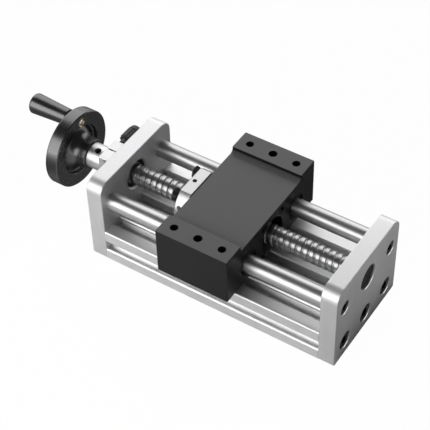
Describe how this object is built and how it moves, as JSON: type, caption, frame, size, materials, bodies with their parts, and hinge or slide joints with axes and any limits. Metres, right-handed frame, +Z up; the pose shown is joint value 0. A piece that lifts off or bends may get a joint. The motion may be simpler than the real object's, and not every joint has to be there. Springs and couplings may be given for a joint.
{
  "type": "linear stage actuator",
  "caption": "Manual linear stage: T-slot base with end plates, guide rods, ball screw with handwheel and clamp knob, and a black carriage block with ledges",
  "frame": {"origin": "on the underside of the base profile, midway between the outer faces of the two end plates and in the middle of its width, with the carriage a little on the handwheel's side of the middle", "axes": "+X along the screw away from the handwheel, +Y across to the rear with the lock knob's side, +Z up out of the table"},
  "size_m": [0.2955, 0.12, 0.085],
  "materials": {
    "plate_aluminium": "satin anodised",
    "profile_aluminium": "clear anodised extrusion",
    "black_anodised": "black anodised, fine blasted",
    "rod_chrome": "ground and hard chromed",
    "screw_steel": "ground thread",
    "nut_steel": "ground",
    "bearing_steel": "polished",
    "black_screw": "black oxide",
    "turned_steel": "fine turned",
    "clamp_aluminium": "satin",
    "wheel_black": "gloss black moulding",
    "knob_black": "matt black moulding",
    "seal_black": "matt",
    "insert_brass": "turned"
  },
  "bodies": {
    "base": {"base_profile": "profile_aluminium", "drive_end_plate": "plate_aluminium", "far_end_plate": "plate_aluminium", "front_guide_rod": "rod_chrome", "rear_guide_rod": "rod_chrome", "drive_profile_screws": "black_screw", "far_profile_screws": "black_screw", "drive_rod_screws": "black_screw", "far_rod_screws": "black_screw", "drive_bearing_outer": "bearing_steel", "drive_bearing_balls": "bearing_steel", "far_bearing_outer": "bearing_steel", "far_bearing_balls": "bearing_steel", "bearing_retainer": "turned_steel", "retainer_screws": "black_screw", "dust_cap": "seal_black", "lock_block": "clamp_aluminium", "lock_block_screws": "black_screw"},
    "screw": {"ball_screw": "screw_steel", "shaft_sleeve": "turned_steel", "sleeve_set_screw": "black_screw", "handwheel": "wheel_black", "handle_insert": "insert_brass", "handle_spindle": "turned_steel", "wheel_washer": "turned_steel", "wheel_screw": "black_screw", "drive_bearing_inner": "bearing_steel", "far_bearing_inner": "bearing_steel"},
    "carriage": {"carriage_block": "black_anodised", "ball_nut": "nut_steel", "nut_screws": "black_screw", "nut_wipers": "seal_black", "bushing_rings": "black_screw", "front_bushing_drive_side": "bearing_steel", "front_bushing_far_side": "bearing_steel", "rear_bushing_drive_side": "bearing_steel", "rear_bushing_far_side": "bearing_steel"},
    "grip": {"handle_grip": "wheel_black"},
    "knob": {"lock_knob": "knob_black", "lock_stud": "turned_steel"}
  },
  "joints": [
    {"name": "screw_turn", "type": "hinge", "parent": "base", "child": "screw", "pos_m": [0, 0, 0.0526], "axis": [1, 0, 0], "range_deg": [-4378.4, 2823.2]},
    {"name": "carriage_slide", "type": "slide", "parent": "base", "child": "carriage", "axis": [1, 0, 0], "range_m": [-0.03922, 0.06082]},
    {"name": "handle_spin", "type": "hinge", "parent": "screw", "child": "grip", "pos_m": [-0.175, 0.00361, 0.07673], "axis": [1, 0, 0], "continuous": true},
    {"name": "lock_knob_turn", "type": "hinge", "parent": "base", "child": "knob", "pos_m": [-0.113, 0.022, 0.0634], "axis": [0, 1, 0], "range_deg": [-180, 90]}
  ],
  "couplings": [
    {"joint": "carriage_slide", "follows": "screw_turn", "m_per_rad": -0.00079577}
  ]
}
